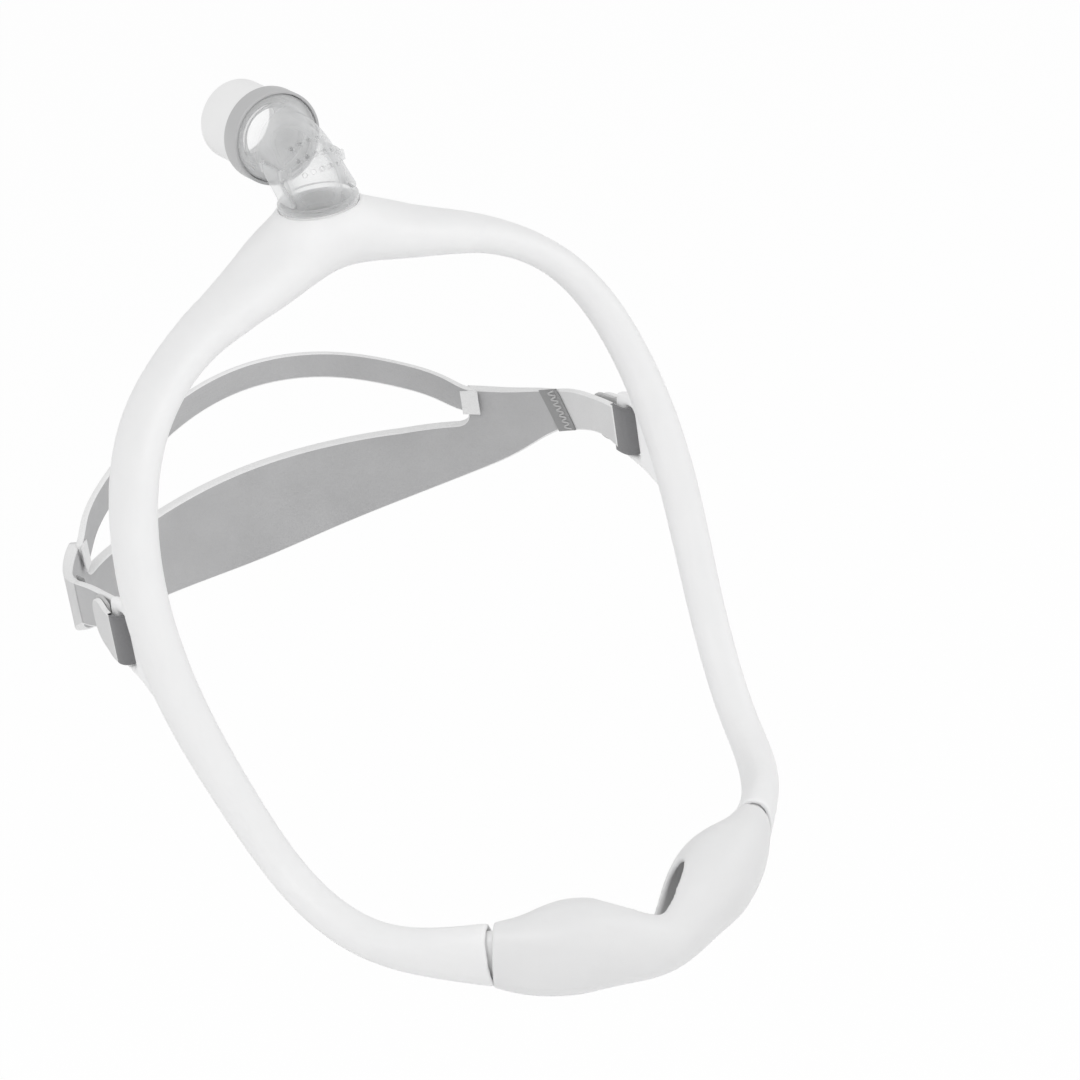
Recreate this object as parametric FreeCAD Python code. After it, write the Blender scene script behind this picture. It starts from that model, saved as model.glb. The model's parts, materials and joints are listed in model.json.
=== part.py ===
import FreeCAD, Part
import math, os
from FreeCAD import Vector

# Nasal mask in millimetres. +X is the wearer's left, -Y the way the face looks, +Z up.
# The origin is the middle of the head, level with the strap slots.

# Driving dimensions

armPath = [          # right half of the tube's middle line, from the crown to the arm end
    (0, 25.4, 78.5),
    (20.6, 22.3, 73.4),
    (42.8, 19.4, 65.7),
    (63.8, 15.0, 50.6),
    (76.8, 7.2, 22.4),
    (79.4, -3.6, -9.7),
    (74.2, -19.2, -43.8),
    (66.8, -40.6, -69.6),
    (59.8, -58.2, -75.8),
    (50.2, -71.9, -76.9),
    (40.6, -81.2, -77.4),
]
armWidths = [30, 26, 17.8, 17, 15, 12.8, 10.0, 9.2, 12.2, 16.8, 21.0]     # along the skin
armDepths = [17, 13.5, 9.6, 8.9, 9.7, 10.5, 10.2, 10.0, 9.6, 9.8, 11.0]   # away from the skin
tubeWall = 1.5
headAxisY = 25.0          # the tube lies flat towards this upright axis
headTilt = 0.55           # share of a point's height that its own centre on the axis takes

portY = 24.3              # upright axis of the crown port
collarTop = 87.5
collarR = 11.3
socketR = 10.5            # outside of the rigid ring in the collar
socketBottom = 79.5
socketLatchR = 9.6        # wide upper bore, for the tab feet
socketLatchDepth = 4.0
socketGrooveR = 10.1
socketGrooveH = 2.0
plugR = 7.3
fitGap = 0.06             # radial clearance of the turning fits

elbowBendR = 12.0         # middle line of the quarter turn
elbowR = 8.5
elbowWall = 1.3
elbowFlangeR = 10.8
elbowFlangeT = 1.6
ventHoleR = 0.65
ventTurns = (28, 40, 52)              # degrees round the bend
ventSpreads = (-36, -18, 0, 18, 36)   # degrees across it
outletZ = collarTop + 1.7 + elbowBendR
shoulderR = 11.95
shoulderY = 43.8          # back face of the outlet shoulder
spigotR = 9.0
spigotEnd = 57.0
sealLow, sealHigh = 1.6, 3.0    # the seal's groove, above the socket's bottom
ringR = 12.75
ringFront = 41.6
ringBack = 48.0
cuffR = 11.0              # 22 mm hose connector
cuffEnd = 64.2
cuffNeckR = 10.4          # inside the ring
cuffFlangeR = 11.6
cuffFlangeT = 2.6
cuffWall = 1.3

tabPivotX = 9.5           # the release tabs turn about pins along Y
tabPivotY = 29.5
tabPivotZ = outletZ - 3.0
tabPinR = 0.9
tabBossR = 1.4
tabHalf = 4.2             # half the tab's width along Y
tabPlateX = 8.8
tabPlateT = 1.3
footHalf = 3.0
legInnerR = 8.8
legOuterR = 9.3
barbR = 9.85
earT = 1.4
earGap = 0.1
pocketX = 7.8             # flat pockets in the bend, behind the tabs
gripR = 0.45

slotZ = -6.2              # middle height of the strap slots
slotX = 80.2              # middle of the slot plate's thickness
slotFront, slotBack = 13.0, 17.2
plateBack = 21.6
plateT = 2.6
slotHeight = 16.0
plateOutline = [          # y and z of the strap plate beside the tube
    (0, 9),
    (16, 5.5),
    (20.1, 4.4),
    (plateBack, 2.5),
    (22.0, -6),
    (plateBack, -13.5),
    (20.1, -15.2),
    (12, -17.0),
    (0, -22),
]

strapT = 1.8
panelPlan = [             # right half of the side panel and back strap, seen from above
    (77.4, 52.0),
    (76.2, 59.0),
    (71.8, 69.0),
    (64.0, 80.0),
    (50.0, 90.5),
    (27.0, 99.0),
    (0, 102.0),
]
panelTop = [-3.6, -4.9, -8.6, -15.4, -17.2, -17.0, -14.8]
panelBottom = [-16.2, -19.6, -27.8, -34.4, -39.4, -44.0, -46.6]
panelT = [1.8, 2.2, 3.0, 3.4, 3.6, 3.6, 3.6]    # foam backed, thicker towards the back
crownStrapW = 7.6
crownStrapT = 1.6
crownPath = [
    (63.4, 80.7, -11.1),
    (58.4, 84.3, -7.0),
    (48.0, 89.0, 0.5),
    (27.0, 93.5, 9.8),
    (0, 96.0, 14.0),
]
stubLow = -14.6           # the piece of the panel that the crown strap is joined to
stubTop = -6.6
stubDrop = 0.3
stubT = [2.2, 2.6, 3.0, 3.2, 3.4]

strapRun = [              # the front strap's inner layer, seen from above, from its seam to the slot
    (77.4, 52.0),
    (78.1, 46),
    (78.1, 32),
    (77.9, 24),
    (77.9, 17.6),
]
strapRunTop = [-3.6, -1.4, -0.6, 0.4, 1.0]
strapRunBottom = [-16.2, -13.8, -12.0, -12.6, -13.2]
foldX = 80.5              # middle of the fold round the slot's bar
strapEnd = [(83.1, 17.6), (82.9, 21.5), (82.2, 25.5), (81.7, 29.5)]

hookPlan = [(79.65, 42.6), (79.65, 37), (79.85, 31), (80.6, 26.4)]
hookLow, hookHigh = -13.2, 0.6
hookT = 1.0
hookEndR = 6.6            # rounding of the tab's end
hookEndY = 35.9

seamT = 0.5
frontSeamPlan = [(76.25, 49.4), (76.05, 52.2), (75.5, 55.0)]
frontSeamLow = [-15.2, -16.2, -17.4]
frontSeamTop = [-2.8, -3.7, -4.2]
crownSeamPlan = [(64.7, 77.0), (62.95, 79.0), (61.2, 80.9)]
crownSeamLow, crownSeamTop = -14.4, -7.9

nosePath = [              # right half of the cushion's middle line, from the arm end inwards
    (40.6, -81.2, -77.4),
    (33.5, -86.0, -78.4),
    (22.5, -90.2, -79.2),
    (11.0, -94.8, -81.8),
    (0, -97.4, -84.4),
]
noseWidths = [21.0, 24.5, 26.5, 22.5, 18.5]
noseDepths = [11.0, 15.5, 21.0, 17.5, 14.5]
cushionWall = 1.6
cushionGap = 0.3          # between the cushion's end and the arm's end
mouthAt = (0, -97.0, -84.0)
mouthR = 5.6
mouthStretch = 2.6
mouthTilt = -25
microR = 0.4              # vent holes at the front of the cushion
microPitchX, microPitchZ = 1.7, 1.9
microAt = (0, -99.0, -90.0)

connectorGap = 0.6
connectorWall = 1.2
connectorStations = (0.7, 0.35, 0, -0.4, -0.8)    # share of the way into the arm, then into the cushion


def mirrored(shape):
    return shape.mirror(Vector(0, 0, 0), Vector(1, 0, 0))


def bothHalves(points):
    left = [(-x, y, z) for x, y, z in reversed(points[:-1])] if points[-1][0] == 0 else []
    return [Vector(*p) for p in list(points) + left]


def spline(points):
    curve = Part.BSplineCurve()
    curve.interpolate(points)
    return curve


def tangentAt(curve, point):
    return curve.tangent(curve.parameter(point))[0]


def skinNormal(point, tangent):
    away = Vector(point.x, point.y - headAxisY, point.z * (1 - headTilt))
    away = away - tangent * away.dot(tangent)
    return away.normalize()


def ovalWire(centre, across, out, width, depth, square=2.3, corners=12):
    ring = []
    for i in range(corners):
        a = 2 * math.pi * i / corners
        c, s = math.cos(a), math.sin(a)
        u = math.copysign(abs(c) ** (2 / square), c) * width / 2
        v = math.copysign(abs(s) ** (2 / square), s) * depth / 2
        ring.append(centre + across * u + out * v)
    curve = Part.BSplineCurve()
    curve.interpolate(Points=ring, PeriodicFlag=True)
    return Part.Wire(curve.toShape())


def tube(points, widths, depths, inset=0.0):
    curve = spline(points)
    wires = []
    for p, w, d in zip(points, widths, depths):
        t = tangentAt(curve, p)
        n = skinNormal(p, t)
        wires.append(ovalWire(p, t.cross(n), n, w - 2 * inset, d - 2 * inset))
    return Part.makeLoft(wires, True, False)


def save(shape, name):
    solids = shape.Solids
    out = solids[0] if len(solids) == 1 else Part.makeCompound(solids)
    print(name, len(solids), round(out.Volume, 1), out.isValid())
    out.exportStep("parts/" + name + ".step")


def upright(radius, bottom, top, x=0.0, y=portY):
    return Part.makeCylinder(radius, top - bottom, Vector(x, y, bottom))


def rearward(radius, front, back, z=outletZ):
    return Part.makeCylinder(radius, back - front, Vector(0, front, z), Vector(0, 1, 0))


def ring(outer, inner, low, high, maker):
    return maker(outer, low, high).cut(maker(inner, low - 1, high + 1))


armPoints = bothHalves([(x, y, z) for x, y, z in reversed(armPath)])
allWidths = list(reversed(armWidths)) + armWidths[1:]
allDepths = list(reversed(armDepths)) + armDepths[1:]


skirtSections = (         # height, half width and half depth of the hub under the collar
    (collarTop - 14, 34, 9),
    (collarTop - 7.5, 23, 14.6),
    (collarTop - 3, 15.5, 13.2),
)


def collarSkirt():
    wires = []
    for z, rx, ry in skirtSections:
        centre = Vector(0, portY, z)
        wires.append(ovalWire(centre, Vector(1, 0, 0), Vector(0, 1, 0), 2 * rx, 2 * ry, square=2.0))
    skirt = Part.makeLoft(wires, True, False)
    return skirt.fuse(upright(collarR, collarTop - 6, collarTop))


def slotPlate():
    points = [Vector(slotX - plateT / 2, y, z) for y, z in plateOutline]
    face = Part.Face(Part.makePolygon(points + points[:1]))
    plate = face.extrude(Vector(plateT, 0, 0))
    window = Part.makeBox(plateT + 8, slotBack - slotFront, slotHeight,
                          Vector(slotX - plateT / 2 - 4, slotFront, slotZ - slotHeight / 2))
    corners = [e for e in window.Edges if abs(e.tangentAt(0).x) > 0.9]
    return plate, window.makeFillet(1.5, corners)


def makeFrame():
    outer = tube(armPoints, allWidths, allDepths)
    inner = tube(armPoints, allWidths, allDepths, tubeWall)
    plate, window = slotPlate()
    solid = outer.fuse([collarSkirt(), plate, mirrored(plate)])
    port = upright(socketR, socketBottom, collarTop + 1)
    throat = upright(plugR, collarTop - 16, collarTop)
    return solid.cut([inner, port, throat, window, mirrored(window)])


def makeCrownSocket():
    body = upright(socketR, socketBottom, collarTop)
    latchLow = collarTop - socketLatchDepth
    bore = upright(plugR + fitGap, socketBottom - 1, collarTop + 1)
    latch = upright(socketLatchR, latchLow, collarTop + 1)
    groove = upright(socketGrooveR, latchLow, latchLow + socketGrooveH)
    return body.cut([bore, latch, groove])


def quarterBend(radius):
    circle = Part.makeCircle(radius, Vector(0, portY, outletZ - elbowBendR), Vector(0, 0, 1))
    section = Part.Face(Part.Wire(circle))
    centre = Vector(0, portY + elbowBendR, outletZ - elbowBendR)
    return section.revolve(centre, Vector(-1, 0, 0), 90)


def elbowVents():
    centre = Vector(0, portY + elbowBendR, outletZ - elbowBendR)
    holes = []
    for turn in ventTurns:
        for spread in ventSpreads:
            hole = Part.makeCylinder(ventHoleR, 6, Vector(0, 3.5 - elbowR, 0), Vector(0, -1, 0))
            hole.rotate(Vector(0, 0, 0), Vector(0, 0, 1), spread)
            hole.translate(centre - Vector(0, elbowBendR, 0))
            hole.rotate(centre, Vector(-1, 0, 0), turn)
            holes.append(hole)
    return holes


def earPair(y):
    ear = Part.makeBox(4.9, earT, 3.6, Vector(6.0, y, tabPivotZ - 1.8))
    return [ear, mirrored(ear)]


def tabPockets(flangeLow):
    reach = 4.0
    front = tabPivotY - tabHalf - earGap
    notch = Part.makeBox(reach, 2 * footHalf + 0.8, 3.0,
                         Vector(pocketX - 0.2, portY - footHalf - 0.4, flangeLow - 1))
    low = Part.makeBox(reach, tabPivotY + tabHalf - portY + footHalf + 2, tabPivotZ - 2.2 - collarTop - 1.7,
                       Vector(pocketX, portY - footHalf - 2, collarTop + 1.7))
    high = Part.makeBox(reach, 2 * (tabHalf + earGap), 4.6, Vector(pocketX, front, tabPivotZ - 2.3))
    pinHole = Part.makeCylinder(tabPinR + fitGap, 2 * tabHalf + 4,
                                Vector(tabPivotX, tabPivotY - tabHalf - 2, tabPivotZ), Vector(0, 1, 0))
    cuts = [notch, low, high, pinHole]
    return cuts + [mirrored(c) for c in cuts]


def makeElbow():
    bendEndY = portY + elbowBendR
    flangeLow = collarTop + 0.1
    outside = quarterBend(elbowR).fuse([
        upright(elbowFlangeR, flangeLow, flangeLow + elbowFlangeT),
        upright(plugR, socketBottom + 0.3, flangeLow + 2),
        rearward(elbowR, bendEndY, shoulderY),
        Part.makeCone(elbowR, shoulderR, 4.0, Vector(0, shoulderY - 6.0, outletZ), Vector(0, 1, 0)),
        rearward(shoulderR, shoulderY - 2.0, shoulderY),
        rearward(spigotR, shoulderY, spigotEnd),
    ])
    ears = earPair(tabPivotY - tabHalf - earGap - earT) + earPair(tabPivotY + tabHalf + earGap)
    outside = outside.fuse(ears)
    cuts = [
        quarterBend(elbowR - elbowWall),
        upright(plugR - elbowWall, socketBottom - 1, outletZ - elbowBendR + 0.01),
        rearward(elbowR - elbowWall, bendEndY - 0.01, shoulderY - 3),
        rearward(spigotR - elbowWall, shoulderY - 3.1, spigotEnd + 1),
        ring(plugR + 1, plugR - 0.7, socketBottom + sealLow, socketBottom + sealHigh, upright),
    ]
    return outside.cut(cuts + tabPockets(flangeLow) + elbowVents())


def makeReleaseTab():
    top = tabPivotZ + 1.6
    low = collarTop + 0.4
    footLow = collarTop - socketLatchDepth + 0.4
    outline = [
        (tabPivotY - tabHalf, top),
        (tabPivotY + tabHalf, top),
        (tabPivotY + tabHalf, top - 3.6),
        (portY + footHalf + 1.4, low + 3.2),
        (portY + footHalf + 1.0, low + 1.9),
        (portY - footHalf - 1.0, low + 1.9),
        (portY - footHalf - 1.4, low + 3.2),
        (tabPivotY - tabHalf, top - 4.2),
    ]
    points = [Vector(tabPlateX, y, z) for y, z in outline]
    plate = Part.Face(Part.makePolygon(points + points[:1])).extrude(Vector(tabPlateT, 0, 0))
    pinStart = Vector(tabPivotX, tabPivotY - tabHalf - 1.5, tabPivotZ)
    pin = Part.makeCylinder(tabPinR, 2 * tabHalf + 3.0, pinStart, Vector(0, 1, 0))
    bossStart = Vector(tabPivotX, tabPivotY - tabHalf, tabPivotZ)
    boss = Part.makeCylinder(tabBossR, 2 * tabHalf, bossStart, Vector(0, 1, 0))
    leg = ring(legOuterR, legInnerR, footLow, low + 2.4, upright)
    barb = ring(barbR, legInnerR, footLow, footLow + 1.2, upright)
    neck = Part.makeBox(1.0, 2 * footHalf, 0.7, Vector(9.1, portY - footHalf, low + 1.7))
    keep = Part.makeBox(6, 2 * footHalf, 30, Vector(7, portY - footHalf, collarTop - 10))
    legs = leg.fuse(barb).common(keep)
    grips = []
    for i in range(3):
        start = Vector(tabPlateX + tabPlateT, portY - footHalf + 0.5 * i, low + 4.2 + 1.8 * i)
        grips.append(Part.makeCylinder(gripR, 2 * footHalf, start, Vector(0, 1, 0)))
    tab = plate.fuse([pin, boss, legs, neck] + grips)
    return tab.removeSplitter()


def makeElbowSeal():
    slack = 0.1
    low = socketBottom + sealLow + slack
    high = socketBottom + sealHigh - slack
    return ring(plugR + fitGap - 0.02, plugR - 0.7, low, high, upright)


def makeSwivelRing():
    lipFront = shoulderY + cuffFlangeT + 0.3
    body = ring(ringR, shoulderR, ringFront, lipFront, rearward)
    lip = ring(ringR, cuffNeckR + fitGap, lipFront, ringBack, rearward)
    both = body.fuse(lip).removeSplitter()
    rims = [e for e in both.Edges if isinstance(e.Curve, Part.Circle) and abs(e.Curve.Radius - ringR) < 1e-6]
    return both.makeFillet(0.7, rims)


def makeSwivelCuff():
    front = shoulderY + 0.15
    seatEnd = ringBack + 0.3
    flange = rearward(cuffFlangeR, front, front + cuffFlangeT)
    neck = rearward(cuffNeckR, front, seatEnd)
    body = rearward(cuffR, seatEnd, cuffEnd)
    bore = rearward(spigotR + fitGap, shoulderY - 1, spigotEnd + 0.5)
    wide = rearward(cuffR - cuffWall, spigotEnd + 0.4, cuffEnd + 1)
    return body.fuse([neck, flange]).cut([bore, wide])


def makeArmConnector():
    curve = spline([Vector(*p) for p in armPath[-4:]] + [Vector(*p) for p in nosePath[1:3]])
    middle = curve.parameter(Vector(*armPath[-1]))
    first = curve.parameter(Vector(*armPath[-2]))
    last = curve.parameter(Vector(*nosePath[1]))
    lost = 2 * (tubeWall + connectorGap)
    outer, inner = [], []
    for share in connectorStations:
        u = middle + (first - middle if share > 0 else middle - last) * share
        p = curve.value(u)
        t = curve.tangent(u)[0]
        n = skinNormal(p, t)
        narrowing = max(share, 0)
        w = armWidths[-1] - (armWidths[-1] - armWidths[-2]) * narrowing - lost
        d = armDepths[-1] - (armDepths[-1] - armDepths[-2]) * narrowing - lost
        outer.append(ovalWire(p, t.cross(n), n, w, d))
        inner.append(ovalWire(p, t.cross(n), n, w - 2 * connectorWall, d - 2 * connectorWall))
    return Part.makeLoft(outer, True, False).cut(Part.makeLoft(inner, True, False))


def makeCushion():
    points = bothHalves(nosePath)
    widths = noseWidths + noseWidths[-2::-1]
    depths = noseDepths + noseDepths[-2::-1]
    arm = spline(armPoints)
    end = Vector(*armPath[-1])
    out = tangentAt(arm, end)
    if out.y > 0:
        out = out * -1
    plane = Part.Face(Part.Wire(Part.makeCircle(25, end + out * cushionGap, out)))
    beyond = plane.extrude(out * -12)
    outer = tube(points, widths, depths)
    inner = tube(points, widths, depths, cushionWall)
    mouth = Part.makeCylinder(mouthR, 26)
    mouth = mouth.transformGeometry(FreeCAD.Matrix(mouthStretch, 0, 0, 0, 0, 1, 0, 0, 0, 0, 1, 0, 0, 0, 0, 1))
    mouth.rotate(Vector(0, 0, 0), Vector(1, 0, 0), mouthTilt)
    mouth.translate(Vector(*mouthAt))
    vents = []
    for i in range(-3, 4):
        for j in range(3):
            start = Vector(*microAt) + Vector(i * microPitchX, 0, j * microPitchZ)
            vents.append(Part.makeCylinder(microR, 12, start, Vector(0, -1, 0)))
    return outer.cut([inner, mouth, beyond, mirrored(beyond)] + vents)


def bandSection(point, tangent, low, high, thick, near=None):
    side = tangent.cross(Vector(0, 0, 1))
    side.normalize()
    lift = side.cross(tangent)
    if near is None:
        near = thick / 2
    inner = side * -near
    outer = side * (thick - near)
    corners = [
        point + lift * low + inner,
        point + lift * low + outer,
        point + lift * high + outer,
        point + lift * high + inner,
    ]
    return Part.makePolygon(corners + corners[:1])


def band(points, lows, highs, thick):
    curve = spline(points)
    wires = []
    for p, low, high in zip(points, lows, highs):
        wires.append(bandSection(p, tangentAt(curve, p), low, high, thick))
    return Part.makeLoft(wires, True, False)


def flat(plan):
    return [Vector(x, y, 0) for x, y in plan]


def makeBackStrap():
    points = bothHalves([(x, y, 0) for x, y in panelPlan])
    curve = spline(points)
    lows = panelBottom + panelBottom[-2::-1]
    highs = panelTop + panelTop[-2::-1]
    thicks = panelT + panelT[-2::-1]
    wires = []
    for p, low, high, thick in zip(points, lows, highs, thicks):
        wires.append(bandSection(p, tangentAt(curve, p), low, high, thick, strapT / 2))
    strap = Part.makeLoft(wires, True, False)
    places = [curve.parameter(p) for p in points[1:4]]
    places = [places[0], (places[0] + places[1]) / 2, places[1], (places[1] + places[2]) / 2, places[2]]
    wires = []
    for i, u in enumerate(places):
        top = stubTop - stubDrop * i
        wires.append(bandSection(curve.value(u), curve.tangent(u)[0], stubLow, top, stubT[i], strapT / 2))
    stub = Part.makeLoft(wires, True, False)
    return strap.fuse([stub, mirrored(stub)]).removeSplitter()


def makeCrownStrap():
    points = bothHalves(crownPath)
    half = crownStrapW / 2
    return band(points, [-half] * len(points), [half] * len(points), crownStrapT)


def makeFrontStrap():
    inner = band(flat(strapRun), strapRunBottom, strapRunTop, strapT)
    high, low = strapRunTop[-1], strapRunBottom[-1]
    foldR = foldX - strapRun[-1][0]
    foldY = strapRun[-1][1]
    fold = Part.makeCylinder(foldR + strapT / 2, high - low, Vector(foldX, foldY, low))
    fold = fold.cut(Part.makeCylinder(foldR - strapT / 2, high - low, Vector(foldX, foldY, low)))
    fold = fold.common(Part.makeBox(20, 20, 40, Vector(foldX - 10, foldY - 20, low - 5)))
    count = len(strapEnd)
    outer = band(flat(strapEnd), [low] * count, [high] * count, strapT)
    return inner.fuse([fold, outer]).removeSplitter()


def makeHookTab():
    count = len(hookPlan)
    tab = band(flat(hookPlan), [hookLow] * count, [hookHigh] * count, hookT)
    rounding = Part.makeCylinder(hookEndR, 8, Vector(76, hookEndY, slotZ), Vector(1, 0, 0))
    front = Part.makeBox(8, 20, 20, Vector(76, hookEndY - 20, slotZ - 10))
    return tab.common(rounding.fuse(front))


def makeFrontSeam():
    return band(flat(frontSeamPlan), frontSeamLow, frontSeamTop, seamT)


def makeCrownSeam():
    count = len(crownSeamPlan)
    return band(flat(crownSeamPlan), [crownSeamLow] * count, [crownSeamTop] * count, seamT)


os.makedirs("parts", exist_ok=True)
save(makeFrame(), "frame")
save(makeCrownSocket(), "crown_socket")
save(makeElbow(), "elbow")
tab = makeReleaseTab()
save(tab, "release_tab_left")
save(mirrored(tab), "release_tab_right")
save(makeElbowSeal(), "elbow_seal")
save(makeSwivelRing(), "swivel_ring")
save(makeSwivelCuff(), "swivel_cuff")
connector = makeArmConnector()
save(connector, "arm_connector_left")
save(mirrored(connector), "arm_connector_right")
save(makeCushion(), "cushion")
backStrap = makeBackStrap()
save(backStrap, "back_strap")
save(makeCrownStrap().cut(backStrap), "crown_strap")
frontStrap = makeFrontStrap().cut(backStrap)
save(frontStrap, "front_strap_left")
save(mirrored(frontStrap), "front_strap_right")
for name, maker in (("hook_tab", makeHookTab), ("front_seam", makeFrontSeam), ("crown_seam", makeCrownSeam)):
    piece = maker()
    save(piece, name + "_left")
    save(mirrored(piece), name + "_right")
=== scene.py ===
import bpy, bmesh, json, math
import numpy as np
from mathutils import Matrix, Vector


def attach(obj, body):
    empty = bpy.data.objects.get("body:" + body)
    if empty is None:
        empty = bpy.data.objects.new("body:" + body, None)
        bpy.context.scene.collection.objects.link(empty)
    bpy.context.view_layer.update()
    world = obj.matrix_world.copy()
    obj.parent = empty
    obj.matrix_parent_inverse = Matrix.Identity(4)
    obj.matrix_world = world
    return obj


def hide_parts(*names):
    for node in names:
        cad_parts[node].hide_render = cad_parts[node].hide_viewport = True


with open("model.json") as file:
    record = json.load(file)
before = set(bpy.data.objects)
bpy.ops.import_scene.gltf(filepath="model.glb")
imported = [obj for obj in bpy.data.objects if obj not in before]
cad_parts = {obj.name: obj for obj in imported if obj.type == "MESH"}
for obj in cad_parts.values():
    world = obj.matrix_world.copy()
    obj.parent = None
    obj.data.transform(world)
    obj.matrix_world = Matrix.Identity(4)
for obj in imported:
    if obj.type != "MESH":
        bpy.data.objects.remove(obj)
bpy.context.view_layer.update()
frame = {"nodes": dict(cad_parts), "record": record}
mm = 0.001


# small helpers, all in millimetres until a mesh is linked

class Line:
    # a smooth line of any number of values through the given ones, read at 0 to 1 along its length
    def __init__(self, values, knots=None):
        self.v = np.array(values, float)
        if self.v.ndim == 1:
            self.v = self.v[:, None]
        if knots is None:
            steps = np.linalg.norm(np.diff(self.v, axis=0), axis=1)
            knots = np.concatenate([[0], np.cumsum(steps)])
        self.k = np.array(knots, float) / knots[-1]
        n, h = len(self.k), np.diff(self.k)
        a, b = np.eye(n), np.zeros_like(self.v)
        for i in range(1, n - 1):
            a[i, i - 1:i + 2] = h[i - 1], 2 * (h[i - 1] + h[i]), h[i]
            b[i] = 6 * ((self.v[i + 1] - self.v[i]) / h[i] - (self.v[i] - self.v[i - 1]) / h[i - 1])
        self.m = np.linalg.solve(a, b)

    def at(self, t):
        t = np.clip(np.atleast_1d(np.array(t, float)), 0, 1)
        i = np.clip(np.searchsorted(self.k, t) - 1, 0, len(self.k) - 2)
        h = (self.k[i + 1] - self.k[i])[:, None]
        a = (self.k[i + 1] - t)[:, None]
        b = (t - self.k[i])[:, None]
        m0, m1, y0, y1 = self.m[i], self.m[i + 1], self.v[i], self.v[i + 1]
        return (m0 * a ** 3 + m1 * b ** 3) / (6 * h) + (y0 / h - m0 * h / 6) * a + (y1 / h - m1 * h / 6) * b

    def slope(self, t):
        e = 1e-4
        t = np.atleast_1d(np.array(t, float))
        return (self.at(t + e) - self.at(t - e)) / (np.clip(t + e, 0, 1) - np.clip(t - e, 0, 1))[:, None]


def unit(v):
    return v / np.linalg.norm(v, axis=-1, keepdims=True)


def tubeGrid(along, around, place, caps=True):
    # a grid whose second direction closes into a tube; place turns two arrays of 0 to 1 into points
    bm = bmesh.new()
    uv = bm.loops.layers.uv.new("weave")
    bmesh.ops.create_grid(bm, x_segments=along, y_segments=around, size=0.5)
    uvs = np.array([(v.co.x + 0.5, v.co.y + 0.5) for v in bm.verts])
    spots = place(uvs[:, 0], uvs[:, 1])
    for f in bm.faces:
        for loop in f.loops:
            loop[uv].uv = uvs[loop.vert.index]
    for v, p in zip(bm.verts, spots):
        v.co = p
    bmesh.ops.remove_doubles(bm, verts=bm.verts, dist=1e-5)
    if caps:
        bmesh.ops.holes_fill(bm, edges=[e for e in bm.edges if e.is_boundary], sides=0)
    bmesh.ops.recalc_face_normals(bm, faces=bm.faces)
    return bm


def turned(profile, steps=96, closed=True):
    # profile of (along, radius) turned about the Z axis
    bm = bmesh.new()
    verts = [bm.verts.new((r, 0, z)) for z, r in profile]
    pairs = list(zip(verts, verts[1:])) + ([(verts[-1], verts[0])] if closed else [])
    edges = [bm.edges.new(p) for p in pairs]
    bmesh.ops.spin(bm, geom=verts + edges, axis=(0, 0, 1), cent=(0, 0, 0), angle=2 * math.pi,
                   steps=steps, use_merge=True)
    bmesh.ops.remove_doubles(bm, verts=bm.verts, dist=1e-5)
    bmesh.ops.recalc_face_normals(bm, faces=bm.faces)
    return bm


def rounded(corners, radii, steps=4):
    # a closed outline of (a, b) points with each corner rounded
    out = []
    n = len(corners)
    for i, (p, r) in enumerate(zip(corners, radii)):
        p = np.array(p, float)
        a, b = np.array(corners[i - 1], float) - p, np.array(corners[(i + 1) % n], float) - p
        la, lb = np.linalg.norm(a), np.linalg.norm(b)
        if r <= 0:
            out.append(tuple(p))
            continue
        a, b = a / la, b / lb
        half = math.acos(np.clip(a @ b, -1, 1)) / 2
        cut = min(r / math.tan(half), 0.49 * la, 0.49 * lb)
        s, e = p + a * cut, p + b * cut
        for j in range(steps + 1):
            t = j / steps
            out.append(tuple((1 - t) ** 2 * s + 2 * t * (1 - t) * p + t * t * e))
    return out


def linked(name, bm, body, material, stands=(), smooth=True, scale=mm):
    bmesh.ops.scale(bm, vec=(scale,) * 3, verts=bm.verts)
    mesh = bpy.data.meshes.new(name)
    bm.to_mesh(mesh)
    bm.free()
    for p in mesh.polygons:
        p.use_smooth = smooth
    obj = bpy.data.objects.new(name, mesh)
    bpy.context.scene.collection.objects.link(obj)
    for m in material if isinstance(material, (list, tuple)) else [material]:
        mesh.materials.append(m)
    if body:
        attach(obj, body)
    if stands:
        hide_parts(*stands)
    return obj


def helper(name, bm):
    # a tool for the booleans
    return linked(name, bm, None, [])


def applied(obj):
    # bakes an object's modifiers into its mesh
    graph = bpy.context.evaluated_depsgraph_get()
    mesh = bpy.data.meshes.new_from_object(obj.evaluated_get(graph))
    old = obj.data
    obj.modifiers.clear()
    obj.data = mesh
    bpy.data.meshes.remove(old)
    return obj


def fused(base, others=(), holes=(), voxel=None):
    # joins and cuts with booleans, then an even remesh
    for kind, tools in (("UNION", others), ("DIFFERENCE", holes)):
        for tool in tools:
            mod = base.modifiers.new(kind, "BOOLEAN")
            mod.operation, mod.object, mod.solver = kind, tool, "EXACT"
    applied(base)
    for tool in list(others) + list(holes):
        bpy.data.objects.remove(tool)
    if voxel:
        mod = base.modifiers.new("remesh", "REMESH")
        mod.mode, mod.voxel_size, mod.use_smooth_shade = "VOXEL", voxel * mm, True
        applied(base)
    return base


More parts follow.
